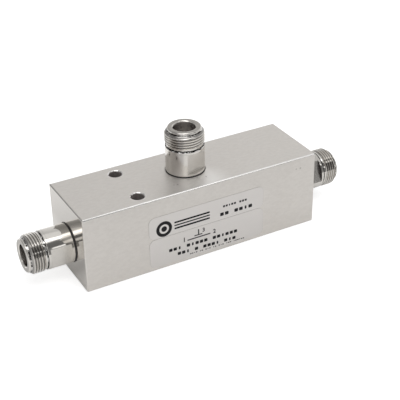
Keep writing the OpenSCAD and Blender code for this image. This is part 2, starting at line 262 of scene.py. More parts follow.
# %% What each kind of ray sees
DIFFUSE_LEVEL = 0.72
path = node(room, "ShaderNodeLightPath")
shiny = calc(room, "MAXIMUM", path.outputs["Is Glossy Ray"], path.outputs["Is Transmission Ray"])
seen = mix_colours(room, shiny, (DIFFUSE_LEVEL,) * 3, level)
seen = mix_colours(room, path.outputs["Is Camera Ray"], seen, (1, 1, 1))
background = node(room, "ShaderNodeBackground", {"Color": seen, "Strength": 1.0})
node(room, "ShaderNodeOutputWorld", {"Surface": background.outputs[0]})
print("studio world:", len(room.nodes), "nodes")

# %% [markdown]
# ## Floor and lamp
#
# The floor is a wide white sheet. A little light of its own, which only the camera and polished metal see,
# lifts it to white and leaves the soft shadow under the object. For metal it glows more at the back and
# hardly at all close to the object, and it ends in a dark front edge, as a table does, which gives the jacks
# their dark lines. One large lamp from the upper right gives the shadow its direction.

# %% Floor
CAMERA_GLOW, CLOSE_GLOW, FRONT_GLOW, BACK_GLOW = 0.56, 0.04, 0.03, 0.35
OBJECT_EDGE, CLEAR_DISTANCE = (0.06, 0.012, 0), 0.06
bpy.ops.mesh.primitive_plane_add(size=5, location=(0, 0, 0))
floor = bpy.context.object
floor.name = "floor"
paper = bpy.data.materials.new("white_floor")
paper.use_nodes = True
sheet = paper.node_tree
sheet.nodes.clear()
place = node(sheet, "ShaderNodeTexCoord").outputs["Object"]
depth = node(sheet, "ShaderNodeSeparateXYZ", {0: place}).outputs["Y"]
path = node(sheet, "ShaderNodeLightPath")

# %% What the camera and polished metal see of it
outside = vector_calc(sheet, "SUBTRACT", vector_calc(sheet, "ABSOLUTE", place), OBJECT_EDGE)
distance = vector_calc(sheet, "LENGTH", vector_calc(sheet, "MAXIMUM", outside))
clear_of_object = fade(sheet, distance, 0.0, CLEAR_DISTANCE)
far_glow = product(sheet, fade(sheet, depth, -0.1, 0.15, FRONT_GLOW, BACK_GLOW), clear_of_object)
near_glow = product(sheet, calc(sheet, "SUBTRACT", 1.0, clear_of_object), CLOSE_GLOW)
for_metal = product(sheet, path.outputs["Is Glossy Ray"], calc(sheet, "ADD", far_glow, near_glow))
for_camera = product(sheet, path.outputs["Is Camera Ray"], CAMERA_GLOW)
past_the_edge = product(sheet, path.outputs["Is Glossy Ray"], fade(sheet, depth, -0.15, -0.24))
white_or_dark = mix_colours(sheet, past_the_edge, (0.8, 0.8, 0.8), (0.2, 0.2, 0.2))
white = node(sheet, "ShaderNodeBsdfDiffuse", {"Color": white_or_dark})
lift = node(sheet, "ShaderNodeEmission", {"Strength": calc(sheet, "ADD", for_metal, for_camera)})
both = node(sheet, "ShaderNodeAddShader", {0: white.outputs[0], 1: lift.outputs[0]})
node(sheet, "ShaderNodeOutputMaterial", {"Surface": both.outputs[0]})
floor.data.materials.append(paper)
print("floor:", len(sheet.nodes), "nodes")

# %% Lamp
bpy.ops.object.light_add(type="AREA", location=(0.12, -0.4, 0.9))
lamp = bpy.context.object
lamp.name = "soft_lamp"
lamp.data.size = 0.5
lamp.data.energy = 2.6
lamp.rotation_euler = (Vector((0, 0, 0)) - lamp.location).to_track_quat("-Z", "Y").to_euler()
lamp.visible_glossy = False
print("lamp", lamp.data.energy, "W")

# %% [markdown]
# ## Modelling helpers
#
# An operator works on whatever is selected, so each piece starts with free hands: object mode and nothing
# selected. A turned piece starts as one vertex that is extruded along half of its section, as a turner's
# drawing has it, and is then spun around Z.

# %% Free hands, picking and smoothing
def free_hands():
    """Leaves edit mode and deselects everything."""
    if bpy.context.object and bpy.context.object.mode != "OBJECT":
        bpy.ops.object.mode_set(mode="OBJECT")
    bpy.ops.object.select_all(action="DESELECT")


def take(piece):
    """Makes one piece the only selected and active object."""
    free_hands()
    piece.select_set(True)
    bpy.context.view_layer.objects.active = piece


def smooth(piece, degrees=30):
    """Shades smooth, and keeps edges that turn by more than this sharp."""
    take(piece)
    bpy.ops.object.shade_smooth_by_angle(angle=math.radians(degrees))


def settle(piece):
    """Applies place, turn and size, so that the object ends at the origin with its place in its mesh."""
    take(piece)
    bpy.ops.object.transform_apply(location=True, rotation=True, scale=True)


# %% Copies and cuts
def copy_of(piece, name):
    """A copy with a mesh of its own."""
    take(piece)
    bpy.ops.object.duplicate()
    made = bpy.context.object
    made.name = name
    made.data.name = name
    return made


def remove(piece):
    """Deletes a piece that was only a tool."""
    take(piece)
    bpy.ops.object.delete()


def cut_away(piece, tool):
    """Cuts a closed tool out of a piece and throws the tool away."""
    take(piece)
    cut = piece.modifiers.new("cut", "BOOLEAN")
    cut.operation = "DIFFERENCE"
    cut.solver = "EXACT"
    cut.object = tool
    bpy.ops.object.modifier_apply(modifier=cut.name)
    remove(tool)


# %% Outlines
def eased(points, radius=0.06):
    """Rounds every corner of a closed outline a little, because no real edge is perfectly sharp."""
    made = []
    for i, point in enumerate(points):
        p = Vector(point)
        before, after = Vector(points[i - 1]) - p, Vector(points[(i + 1) % len(points)]) - p
        start = p + before.normalized() * min(radius, before.length * 0.4)
        end = p + after.normalized() * min(radius, after.length * 0.4)
        middle = (start + end) / 4 + p / 2
        made += [tuple(start), tuple(middle), tuple(end)]
    return made


def draw_outline(name, points, closed=True):
    """Draws an outline in the XZ plane, one extruded vertex after another."""
    free_hands()
    bpy.ops.mesh.primitive_plane_add(size=MM, location=(0, 0, 0))
    piece = bpy.context.object
    piece.name = name
    piece.data.name = name
    bpy.ops.object.mode_set(mode="EDIT")
    bpy.ops.mesh.select_all(action="SELECT")
    bpy.ops.mesh.merge(type="CENTER")
    x, z = points[0]
    bpy.ops.transform.translate(value=(x * MM, 0, z * MM))
    way = list(points) + ([points[0]] if closed else [])
    for (x0, z0), (x1, z1) in zip(way, way[1:]):
        step = ((x1 - x0) * MM, 0, (z1 - z0) * MM)
        bpy.ops.mesh.extrude_vertices_move(TRANSFORM_OT_translate={"value": step})
    bpy.ops.mesh.select_all(action="SELECT")
    bpy.ops.mesh.remove_doubles(threshold=0.001 * MM)
    bpy.ops.object.mode_set(mode="OBJECT")
    return piece


# %% Turning
def turned(name, points, steps=192, closed=True):
    """Spins an outline of (radius, height) points once around Z."""
    piece = draw_outline(name, points, closed)
    bpy.ops.object.mode_set(mode="EDIT")
    bpy.ops.mesh.select_all(action="SELECT")
    bpy.ops.mesh.spin(steps=steps, angle=math.tau, center=(0, 0, 0), axis=(0, 0, 1))
    bpy.ops.mesh.select_all(action="SELECT")
    bpy.ops.mesh.remove_doubles(threshold=0.001 * MM)
    bpy.ops.mesh.normals_make_consistent(inside=False)
    bpy.ops.object.mode_set(mode="OBJECT")
    return piece


# %% Standing a jack's piece on the bar
def stand_on_bar(piece, side):
    """Turns and leans a piece that was made upright on the origin, and stands it on its face of the bar."""
    seat, lean, turn = SEATS[side]
    piece.rotation_mode = "ZYX"
    piece.rotation_euler = (0, math.radians(lean), math.radians(turn))
    piece.location = Vector(seat) * MM
    settle(piece)
    return piece


# %% [markdown]
# ## Jack shell
#
# The shell is one turned brass piece: a shank that screws into the bar, a round body with two wrench flats,
# a narrow groove and a collar, a 24 to the inch thread and a smooth nose. A thread can be built up as a
# ridge or cut as a groove. Here a plain blank is turned first, and the flats and the thread are then cut, as
# on the real one, because cutting gives the tapered first and last turns without extra work. The thread's
# cutter is one tooth space that a Screw modifier winds up along the blank.

# %% Turn the blank
REAR_R, SHELL_R, MOUTH_R, NOSE_R = 4.95, 3.5, 4.05, 6.8
WIDE_MOUTH_R = MOUTH_R + 0.38
blank_outline = eased([
    # Shank and neck
    (REAR_R, -8), (6.8, -8), (7.05, -7.75), (7.05, -0.95), (NECK_R, -SEAL_SUNK), (NECK_R, SEAL_SHOW),
    # Body and groove
    (BODY_R - 0.2, SEAL_SHOW), (BODY_R, SEAL_SHOW + 0.2), (BODY_R, GROOVE_START - 0.2),
    (BODY_R - 0.2, GROOVE_START), (6.7, GROOVE_START), (6.7, COLLAR_START),
    # Collar and blank of the thread
    (7.5, COLLAR_START), (7.5, THREAD_START), (THREAD_R - 0.35, THREAD_START),
    (THREAD_R, THREAD_START + 0.35), (THREAD_R, NOSE_START - 0.9), (THREAD_R - 0.9, NOSE_START),
    # Undercut and nose
    (6.45, NOSE_START), (6.45, NOSE_START + 0.28), (NOSE_R, NOSE_START + 0.45),
    (NOSE_R, JACK_REACH - 0.4), (NOSE_R - 0.4, JACK_REACH),
    # Mouth and the bore behind it
    (MOUTH_R + 0.8, JACK_REACH), (WIDE_MOUTH_R, JACK_REACH - 0.42), (WIDE_MOUTH_R, JACK_REACH - 5.9),
    (MOUTH_R, JACK_REACH - 6.2), (MOUTH_R, MATING_PLANE), (SHELL_R, MATING_PLANE), (SHELL_R, 2), (REAR_R, 2),
])
shell = turned("jack_shell", blank_outline)
print("blank:", len(shell.data.polygons), "faces")

# %% Mill the two wrench flats
MILL_WIDTH, MILL_DEPTH = 24, 8
mill_at = (0, (FLATS + MILL_DEPTH) / 2 * MM, (FLAT_START + FLAT_END) / 2 * MM)
bpy.ops.mesh.primitive_cube_add(size=MM, location=mill_at)
flat_mill = bpy.context.object
flat_mill.scale = (MILL_WIDTH, MILL_DEPTH, FLAT_END - FLAT_START)
bpy.ops.object.duplicate()
other_mill = bpy.context.object
other_mill.location.y *= -1
flat_mill.select_set(True)
bpy.context.view_layer.objects.active = flat_mill
bpy.ops.object.join()
settle(flat_mill)
cut_away(shell, flat_mill)
print("blank with flats:", len(shell.data.polygons), "faces")

# %% Wind the thread's cutter
SPACE_DEPTH, ROOT_HALF, FLANK_ANGLE = 0.65, 0.1, math.radians(30)
top_half = ROOT_HALF + SPACE_DEPTH * math.tan(FLANK_ANGLE)
start = THREAD_START - 2 * PITCH
cutter = draw_outline("thread_cutter", [
    (THREAD_ROOT_R, start - ROOT_HALF), (THREAD_ROOT_R + SPACE_DEPTH, start - top_half),
    (THREAD_ROOT_R + SPACE_DEPTH, start + top_half), (THREAD_ROOT_R, start + ROOT_HALF),
])
winding = cutter.modifiers.new("winding", "SCREW")
winding.axis = "Z"
winding.angle = math.tau
winding.screw_offset = PITCH * MM
winding.iterations = 9
winding.steps = winding.render_steps = 180
winding.use_merge_vertices = False
take(cutter)
bpy.ops.object.modifier_apply(modifier=winding.name)
print("wound cutter:", len(cutter.data.polygons), "faces")

# %% Close the cutter, stop it at the collar and cut
bpy.ops.object.mode_set(mode="EDIT")
bpy.ops.mesh.select_all(action="SELECT")
bpy.ops.mesh.fill_holes(sides=4)
bpy.ops.mesh.select_all(action="SELECT")
bpy.ops.mesh.normals_make_consistent(inside=False)
bpy.ops.object.mode_set(mode="OBJECT")
# Turned a little, so that none of its faces lies in one of the blank's
cutter.rotation_euler.z = math.radians(0.7)
settle(cutter)
free_hands()
stop_top = THREAD_START + 0.03
stop_at = (0, 0, (stop_top - 3) * MM)
bpy.ops.mesh.primitive_cylinder_add(vertices=64, radius=10 * MM, depth=6 * MM, location=stop_at)
stop = bpy.context.object
settle(stop)
cut_away(cutter, stop)
print("cutter:", len(cutter.data.polygons), "faces")
cut_away(shell, cutter)
smooth(shell, 32)
print("shell:", len(shell.data.polygons), "faces")

# %% Copy the shell for the three jacks
pieces = {}
for side in SEATS:
    name = side + "_shell"
    pieces[name] = stand_on_bar(copy_of(shell, name), side)
remove(shell)
print("shells:", ", ".join(pieces))

# %% [markdown]
# ## Seal, insulator and contact
#
# A rubber ring sits squeezed between the bar and each jack. A torus is the right start: it is flattened a
# little, and its mould line is drawn out as a fine bead. The insulator and the socket are turned, and the
# socket is then slit into four springs with two thin saw blades.

# %% Rubber seal
MOULD_LINE = 0.05


def rubber_seal():
    """A squeezed ring with a fine mould line round its outside."""
    free_hands()
    cord_r = SEAL_CORD / 2
    bpy.ops.mesh.primitive_torus_add(
        major_segments=128, minor_segments=24, major_radius=(NECK_R + 0.05 + cord_r) * MM,
        minor_radius=cord_r * MM, location=(0, 0, 0),
    )
    ring = bpy.context.object
    for vertex in ring.data.vertices:
        vertex.select = vertex.co.xy.length > (NECK_R + 0.04 + SEAL_CORD) * MM
    bpy.ops.object.mode_set(mode="EDIT")
    bpy.ops.mesh.bevel(offset=MOULD_LINE * MM, segments=2, profile=0.2)
    bpy.ops.mesh.select_all(action="SELECT")
    squeezed = (SEAL_SHOW + SEAL_SUNK - 0.004) / SEAL_CORD
    bpy.ops.transform.resize(value=(1, 1, squeezed))
    bpy.ops.transform.translate(value=(0, 0, (SEAL_SHOW - SEAL_SUNK) / 2 * MM))
    bpy.ops.object.mode_set(mode="OBJECT")
    return ring


seal = rubber_seal()
smooth(seal, 60)
print("seal:", len(seal.data.polygons), "faces")

# %% Insulator
insulator = turned("jack_insulator", eased([
    (1.13, -1), (4.9, -1), (4.9, 2), (3.45, 2), (3.45, MATING_PLANE - 0.2), (1.55, MATING_PLANE - 0.2),
    (1.55, 6), (1.13, 6),
], 0.1), steps=96)
smooth(insulator)
print("insulator:", len(insulator.data.polygons), "faces")

# %% Slotted socket
SLIT_WIDTH, SLIT_DEPTH = 0.25, 4.4
socket = turned("jack_contact", [
    (0, -5), (0.9, -5), (1.1, -4.8), (1.1, 5.98), (1.14, 6), (1.46, 6), (1.52, 6.06),
    (1.52, CONTACT_TIP - 0.22), (1.46, CONTACT_TIP - 0.08), (1.34, CONTACT_TIP), (0.98, CONTACT_TIP),
    (0.86, CONTACT_TIP - 0.06), (0.83, CONTACT_TIP - 0.16), (0.83, CONTACT_TIP - 5.6), (0, CONTACT_TIP - 5.6),
], steps=96, closed=False)
for turn in (45, 135):
    free_hands()
    bpy.ops.mesh.primitive_cube_add(size=MM, location=(0, 0, CONTACT_TIP * MM))
    blade = bpy.context.object
    blade.scale = (6, SLIT_WIDTH, 2 * SLIT_DEPTH)
    blade.rotation_euler.z = math.radians(turn)
    settle(blade)
    cut_away(socket, blade)
smooth(socket)
print("socket:", len(socket.data.polygons), "faces")

# %% Copies for the three jacks
for side in SEATS:
    for model, suffix in ((seal, "_rubber_ring"), (insulator, "_insulation"), (socket, "_socket")):
        name = side + suffix
        pieces[name] = stand_on_bar(copy_of(model, name), side)
for model in (seal, insulator, socket):
    remove(model)
print(len(pieces), "pieces on the jacks")

# %% [markdown]
# ## Labels
#
# Two thin film labels are stuck on the front, one above the other. Each starts as a cube that is scaled to a
# sheet, gets its corners rounded by a bevel and a cut edge by an inset. The print could be a mask in the
# film's material, but thin marks of their own stay crisp from close by. They are plain shapes that mean the
# same on any coaxial tapper: a ring and dot for the coaxial line, three lines, a line diagram with its ports
# numbered, and rows of long and short blocks.

# %% Picking edges and faces
def edges_along(piece, axis):
    """Selects the edges that run along one axis, and enters edit mode."""
    take(piece)
    bpy.ops.object.mode_set(mode="EDIT")
    bpy.ops.mesh.select_mode(type="EDGE")
    bpy.ops.mesh.select_all(action="DESELECT")
    bpy.ops.object.mode_set(mode="OBJECT")
    for edge in piece.data.edges:
        a, b = (piece.data.vertices[i].co for i in edge.vertices)
        edge.select = abs((b - a).normalized()[axis]) > 0.99
    bpy.ops.object.mode_set(mode="EDIT")


def faces_towards(piece, normal):
    """Selects the faces that look one way, and enters edit mode."""
    take(piece)
    bpy.ops.object.mode_set(mode="EDIT")
    bpy.ops.mesh.select_mode(type="FACE")
    bpy.ops.mesh.select_all(action="DESELECT")
    bpy.ops.object.mode_set(mode="OBJECT")
    for face in piece.data.polygons:
        face.select = face.normal.dot(Vector(normal)) > 0.9
    bpy.ops.object.mode_set(mode="EDIT")


# %% Film labels
FILM_T, LABEL_LENGTH, LABEL_X, LABEL_CORNER, CUT_EDGE = 0.1, 51.5, 1.0, 2.6, 0.04
FILM_FRONT = BAR_SECTION / 2 + FILM_T
# Height of each label, and the height of its middle above the ground
LABELS = {"upper": (9.8, 19.35), "lower": (12.8, 7.95)}
LABEL_SEAM = 14.4


def film_label(which):
    """A sheet of film with rounded corners and a narrow cut edge."""
    free_hands()
    label_height, middle = LABELS[which]
    bpy.ops.mesh.primitive_cube_add(
        size=1, location=(LABEL_X * MM, -(BAR_SECTION / 2 + FILM_T / 2) * MM, middle * MM),
    )
    film = bpy.context.object
    film.name = which + "_film"
    film.data.name = film.name
    film.scale = (LABEL_LENGTH * MM, FILM_T * MM, label_height * MM)
    settle(film)
    edges_along(film, 1)
    bpy.ops.mesh.bevel(offset=LABEL_CORNER * MM, segments=12)
    bpy.ops.object.mode_set(mode="OBJECT")
    faces_towards(film, (0, -1, 0))
    bpy.ops.mesh.inset(thickness=CUT_EDGE * MM)
    bpy.ops.object.mode_set(mode="OBJECT")
    return film


for which in LABELS:
    pieces[which + "_film"] = film_label(which)
    print(which, "film:", len(pieces[which + "_film"].data.polygons), "faces")

# %% Thickness of the print
INK_BACK, INK_T = -(FILM_FRONT - 0.005) * MM, 0.022 * MM


def raise_ink(print_mark):
    """Thickens a flat mark drawn in the XY plane, and turns it to face -Y."""
    take(print_mark)
    bpy.ops.object.mode_set(mode="EDIT")
    bpy.ops.mesh.select_all(action="SELECT")
    bpy.ops.mesh.extrude_region_move(TRANSFORM_OT_translate={"value": (0, 0, INK_T)})
    bpy.ops.mesh.select_all(action="SELECT")
    bpy.ops.mesh.normals_make_consistent(inside=False)
    bpy.ops.object.mode_set(mode="OBJECT")
    print_mark.rotation_euler.x = math.radians(90)
    settle(print_mark)
    return print_mark


# %% Printed block and disc
def ink_block(width, height, corner):
    """A block with rounded corners."""
    free_hands()
    bpy.ops.mesh.primitive_plane_add(size=MM, location=(0, 0, 0))
    mark = bpy.context.object
    mark.scale = (width, height, 1)
    settle(mark)
    bpy.ops.object.mode_set(mode="EDIT")
    bpy.ops.mesh.select_mode(type="VERT")
    bpy.ops.mesh.select_all(action="SELECT")
    bpy.ops.mesh.bevel(offset=corner * MM, segments=4, affect="VERTICES")
    bpy.ops.object.mode_set(mode="OBJECT")
    return raise_ink(mark)


def ink_disc(radius, stroke=0.0):
    """A disc. With a stroke it is a ring."""
    free_hands()
    bpy.ops.mesh.primitive_circle_add(vertices=64, radius=radius * MM, fill_type="NGON", location=(0, 0, 0))
    mark = bpy.context.object
    if stroke:
        bpy.ops.object.mode_set(mode="EDIT")
        bpy.ops.mesh.select_mode(type="FACE")
        bpy.ops.mesh.select_all(action="SELECT")
        bpy.ops.mesh.inset(thickness=stroke * MM)
        bpy.ops.mesh.delete(type="FACE")
        bpy.ops.object.mode_set(mode="OBJECT")
    return raise_ink(mark)


# %% Printed numeral
def ink_number(figure, height):
    """A plain numeral, made a mesh before it gets its thickness."""
    free_hands()
    bpy.ops.object.text_add(location=(0, 0, 0))
    mark = bpy.context.object
    mark.data.body = figure
    mark.data.offset = 0.07 * MM
    mark.data.size = height * 1.4 * MM
    mark.data.align_x = "CENTER"
    mark.data.align_y = "CENTER"
    bpy.ops.object.convert(target="MESH")
    bpy.ops.object.mode_set(mode="EDIT")
    bpy.ops.mesh.select_all(action="SELECT")
    bpy.ops.mesh.remove_doubles(threshold=0.001 * MM)
    bpy.ops.object.mode_set(mode="OBJECT")
    return raise_ink(mark)


# %% Placing and joining marks
def put_ink(mark, x, z):
    """Places a mark on the label's face. x runs to the right and z up."""
    mark.location = (x * MM, INK_BACK, z * MM)
    settle(mark)
    return mark


def join_ink(name, marks):
    """Joins marks into one printed piece."""
    free_hands()
    for mark in marks:
        mark.select_set(True)
    bpy.context.view_layer.objects.active = marks[0]
    bpy.ops.object.join()
    made = bpy.context.object
    made.name = name
    made.data.name = name
    print(name + ":", len(marks), "marks,", len(made.data.polygons), "faces")
    return made


# %% Rows of blocks
SHORT_PLACES = (2, 5)


def block_row(name, groups, start, pitch, z, size, drop=0.0):
    """Groups of plain long and short blocks. Each is modelled once, and the rest are its copies."""
    length, height = size
    kinds = [ink_block(share * length, height, corner=0.22 * height) for share in (1.0, 0.5)]
    marks, place = [], 0
    for group in groups:
        for _ in range(group):
            x = start + pitch * (place + 0.5)
            kind = kinds[1 if place % 7 in SHORT_PLACES else 0]
            marks.append(put_ink(copy_of(kind, name + "_block"), x, z - drop * place))
            place += 1
        place += 1
    for kind in kinds:
        remove(kind)
    return join_ink(name, marks)


for name, *layout in (
    # Groups, where the row starts, pitch, height above the ground, size of a long block, fall per block
    ("ink_small_row", (5, 3), 7.8, 1.25, 20.2, (0.92, 0.9)),
    ("ink_bold_row", (2, 4), 6.4, 2.18, 16.8, (1.66, 1.5)),
    ("ink_first_row", (3, 5, 6), -16.65, 1.96, 7.4, (1.5, 1.38), 0.03),
    ("ink_second_row", (3, 1, 4, 3), -12.9, 1.92, 4.8, (1.48, 1.38), 0.06),
    ("ink_tiny_row", (4, 2, 3, 2, 3, 3, 6), -7.3, 0.87, 2.92, (0.62, 0.44), 0.018),
):
    pieces[name] = block_row(name, *layout)

# %% Coaxial mark and line section on the upper label
COAXIAL_MARK, LINES_LENGTH, LINES_X = (-18.23, 18.1), 15.7, -5.9
pieces["ink_coaxial_mark"] = join_ink("ink_coaxial_mark", [
    put_ink(ink_disc(radius, stroke), *COAXIAL_MARK) for radius, stroke in ((3.42, 1.35), (1.2, 0.0))
])
pieces["ink_line_section"] = join_ink("ink_line_section", [
    put_ink(ink_block(LINES_LENGTH, thickness, corner), LINES_X, z)
    for thickness, corner, z in ((0.75, 0.2, 19.55), (0.55, 0.12, 18.2), (0.75, 0.2, 16.85))
])

# %% Line diagram with numbered ports on the lower label
# Width and height of each line, or figure and height of each numeral, and where its middle is
LINES = ((10.3, 0.5, -3.05, 9.62), (3.6, 0.45, -3.28, 10.7), (0.5, 2.7, -3.18, 11.85))
PORTS = (("1", 2.0, -9.6, 10.2), ("3", 1.7, -0.9, 12.2), ("2", 1.8, 4.0, 10.0))
diagram = [put_ink(ink_block(wide, high, corner=0.1), x, z) for wide, high, x, z in LINES]
diagram += [put_ink(ink_number(figure, high), x, z) for figure, high, x, z in PORTS]
pieces["ink_line_diagram"] = join_ink("ink_line_diagram", diagram)

# %% [markdown]
# ## Finishes
#
# Each finish is a graph on Object coordinates. Because every finished piece has its place in its mesh, these
# are the part's own coordinates, and a pattern runs on from one piece to the next. They are turned into
# millimetres first, so that the sizes below can be read as they are on the real surface. Where one zone of a
# piece looks different, such as the inside of a hole, its share is worked out from the same coordinates.
# That needs no unwrapping, and its edge stays sharp from close by.

# %% A bench for finishes
def new_finish(name, **constants):
    """A material with a Principled shader whose constant values are set on its own sockets."""
    material = bpy.data.materials.new(name)
    material.use_nodes = True
    tree = material.node_tree
    shader = tree.nodes["Principled BSDF"]
    for key, value in constants.items():
        socket = shader.inputs[key.replace("_", " ")]
        socket.default_value = (*value, 1) if isinstance(value, tuple) else value
    return material, tree, shader


def millimetres(tree):
    """The part's own coordinates, in millimetres."""
    place = node(tree, "ShaderNodeTexCoord").outputs["Object"]
    return vector_calc(tree, "MULTIPLY", place, (1 / MM,) * 3)


def stretched(tree, vector, scale):
    """Coordinates scaled differently along each axis, which draws a noise out into streaks."""
    return vector_calc(tree, "MULTIPLY", vector, scale)


def relief(tree, shader, height, depth, rounding=0.0):
    """Bump of this depth in millimetres. With a rounding, edges catch light as if worn to this radius."""
    bump = node(tree, "ShaderNodeBump", {"Height": height, "Strength": 1.0, "Distance": depth * MM})
    if rounding:
        worn = node(tree, "ShaderNodeBevel", {"Radius": rounding * MM}, samples=8)
        tree.links.new(worn.outputs["Normal"], bump.inputs["Normal"])
    tree.links.new(bump.outputs["Normal"], shader.inputs["Normal"])


# %% Zones and their tones
# A near-white for painted highlights
PAINTED_HIGHLIGHT = (0.97, 0.96, 0.94)


def within(tree, value, low, high, soft, soft_high=None):
    """1 between two limits. It fades to 0 over a soft stretch outside each of them."""
    above = fade(tree, value, low - soft, low)
    below = fade(tree, value, high + (soft_high or soft), high)
    return product(tree, above, below)


def toned(tree, tone, share, colour, strength=1.0):
    """Lays a colour over a tone where the share says so."""
    if strength < 1:
        share = product(tree, share, strength)
    return mix_colours(tree, share, tone, colour)


# %% [markdown]
# ### Machined aluminium
#
# The bar was milled and then brushed along its length. Noise that is drawn out along X gives the fine
# streaks in the roughness and the bump, and two softer noises tone the metal. The sawn ends are closer to a
# mirror, and a painted reflection makes them darker above the jack. The chamfers and the rims of the holes
# get a painted highlight, the holes painted shade inside, and the top edge of each end a thin painted dark
# line. The top gets painted light in front of the tap, where the tap's reflection darkens it, and a few
# specks and scuffs sit where handling left them.

# %% Zones of the holes
def hole_zones(tree, place, height):
    """The inside of the two mounting holes, and their rims."""
    across = vector_calc(tree, "SUBTRACT", vector_calc(tree, "MULTIPLY", place, (1, 1, 0)), (HOLES_X, 0, 0))
    across = vector_calc(tree, "SUBTRACT", vector_calc(tree, "ABSOLUTE", across), (0, HOLES_Y, 0))
    from_hole = vector_calc(tree, "LENGTH", across)
    in_hole = product(
        tree, fade(tree, from_hole, HOLE_R + 0.12, HOLE_R + 0.04),
        fade(tree, height, BAR_SECTION - 0.22, BAR_SECTION - 0.3),
    )
    around = fade(tree, from_hole, HOLE_R + 0.5, HOLE_R + 0.4)
    return {"hole": in_hole, "rim": product(tree, around, calc(tree, "SUBTRACT", 1.0, in_hole))}


# %% Zones of the bar
# Middle of the painted light on the top in front of the tap
TAP_LIGHT_SPOT = (-1.0, -12.0, BAR_SECTION)


def bar_zones(tree, place):
    """The share of each zone of the bar that has a finish, painted light or painted shade of its own."""
    axes = node(tree, "ShaderNodeSeparateXYZ", {0: place})
    along, across = (calc(tree, "ABSOLUTE", axes.outputs[name]) for name in "XY")
    height = axes.outputs["Z"]
    half_length, half_section = BAR_LENGTH / 2, BAR_SECTION / 2
    rise = calc(tree, "ABSOLUTE", calc(tree, "SUBTRACT", height, half_section))
    chamfer = fade(tree, calc(tree, "ADD", across, rise), BAR_SECTION - 0.45, BAR_SECTION - 0.4)
    top = fade(tree, height, BAR_SECTION - 0.3, BAR_SECTION - 0.1)
    top_margin = product(tree, top, fade(tree, across, half_section - 0.75, half_section - 0.65))
    # A thin painted dark line along the top edge of each end
    end_edge_shade = product(
        tree, fade(tree, height, BAR_SECTION - 0.5, BAR_SECTION - 0.4),
        fade(tree, along, half_length - 0.45, half_length - 0.4),
    )
    # Painted highlight along the chamfers and the top's outer margins, except at the ends
    painted_edge_highlight = product(
        tree, calc(tree, "MAXIMUM", chamfer, top_margin), calc(tree, "SUBTRACT", 1.0, end_edge_shade),
    )
    from_tap = vector_calc(tree, "DISTANCE", place, TAP_LIGHT_SPOT)
    return {
        "end": fade(tree, along, half_length - 0.25, half_length - 0.1),
        "above the jack": fade(tree, height, LINE_HEIGHT, LINE_HEIGHT + 8),
        "chamfer": chamfer,
        "cut edge": painted_edge_highlight,
        "end edge shade": end_edge_shade,
        "painted light by the tap": product(tree, top, fade(tree, from_tap, 16.0, 4.0, 0.0, 0.95)),
        **hole_zones(tree, place, height),
    }


# %% Specks and scuffs
MARKS = (
    # Where each one is, and its radius
    ((-8.7, -9.85, BAR_SECTION), 0.55), ((-10.05, -9.5, BAR_SECTION), 0.4), ((3.85, -10.0, BAR_SECTION), 0.5),
    ((42.3, -BAR_SECTION / 2, 27.3), 0.5), ((44.3, -BAR_SECTION / 2, 27.2), 0.6),
)


def bar_marks(tree, place):
    """The share of the small dark marks."""
    marks = 0.0
    for spot, radius in MARKS:
        away = vector_calc(tree, "DISTANCE", place, spot)
        marks = calc(tree, "MAXIMUM", marks, fade(tree, away, radius, radius * 0.3))
    return marks


# %% Machined aluminium
def machined_aluminium():
    """Brushed aluminium, with the zones and marks of this bar."""
    material, tree, shader = new_finish("machined_aluminium", Metallic=1.0)
    place = millimetres(tree)
    zones = bar_zones(tree, place)
    streaks, mottle, cloud = (
        grain(tree, stretched(tree, place, scale), 1.0, 4.0, 0.6)
        for scale in ((0.12, 6, 6), (0.5, 0.9, 0.9), (0.05, 0.09, 0.09))
    )
    tone = mix_colours(tree, cloud, (0.757, 0.724, 0.685), (0.797, 0.764, 0.723))
    tone = toned(tree, tone, fade(tree, mottle, 0.3, 0.7, 0.0, 0.5), (0.855, 0.824, 0.785))
    # The ends are painted darker above the jack: a painted reflection
    end_reflection_tone = mix_colours(tree, zones["above the jack"], (0.76, 0.735, 0.7), (0.62, 0.593, 0.558))
    for share, colour, strength in (
        (zones["end"], end_reflection_tone, 1.0),
        # Painted light on the top in front of the tap, against the tap's dark reflection
        (zones["painted light by the tap"], (1.0, 0.98, 0.95), 1.0),
        (bar_marks(tree, place), (0.3, 0.28, 0.25), 0.45),
        # Painted highlight on the chamfers and the top's margins
        (zones["cut edge"], PAINTED_HIGHLIGHT, 0.85),
        # Painted dark line along the top edge of each end
        (zones["end edge shade"], (0.5, 0.48, 0.46), 0.6),
        # Painted shade inside the holes
        (zones["hole"], (0.52, 0.485, 0.47), 1.0),
        # Painted highlight on the rims of the holes
        (zones["rim"], PAINTED_HIGHLIGHT, 1.0),
    ):
        tone = toned(tree, tone, share, colour, strength)
    tree.links.new(tone, shader.inputs["Base Color"])
    satin = fade(tree, streaks, 0.2, 0.8, 0.43, 0.52)
    rough = calc(tree, "ADD", satin, fade(tree, cloud, 0.3, 0.7, -0.03, 0.03))
    sharper = calc(tree, "MAXIMUM", calc(tree, "MAXIMUM", zones["end"], zones["chamfer"]), zones["rim"])
    rough = product(tree, rough, calc(tree, "MULTIPLY_ADD", sharper, -0.77, 1.0))
    rough = calc(tree, "MULTIPLY_ADD", zones["hole"], 0.2, rough)
    tree.links.new(rough, shader.inputs["Roughness"])
    relief(tree, shader, streaks, 0.0015, rounding=0.3)
    return material


aluminium = machined_aluminium()
print("aluminium:", len(aluminium.node_tree.nodes), "nodes")
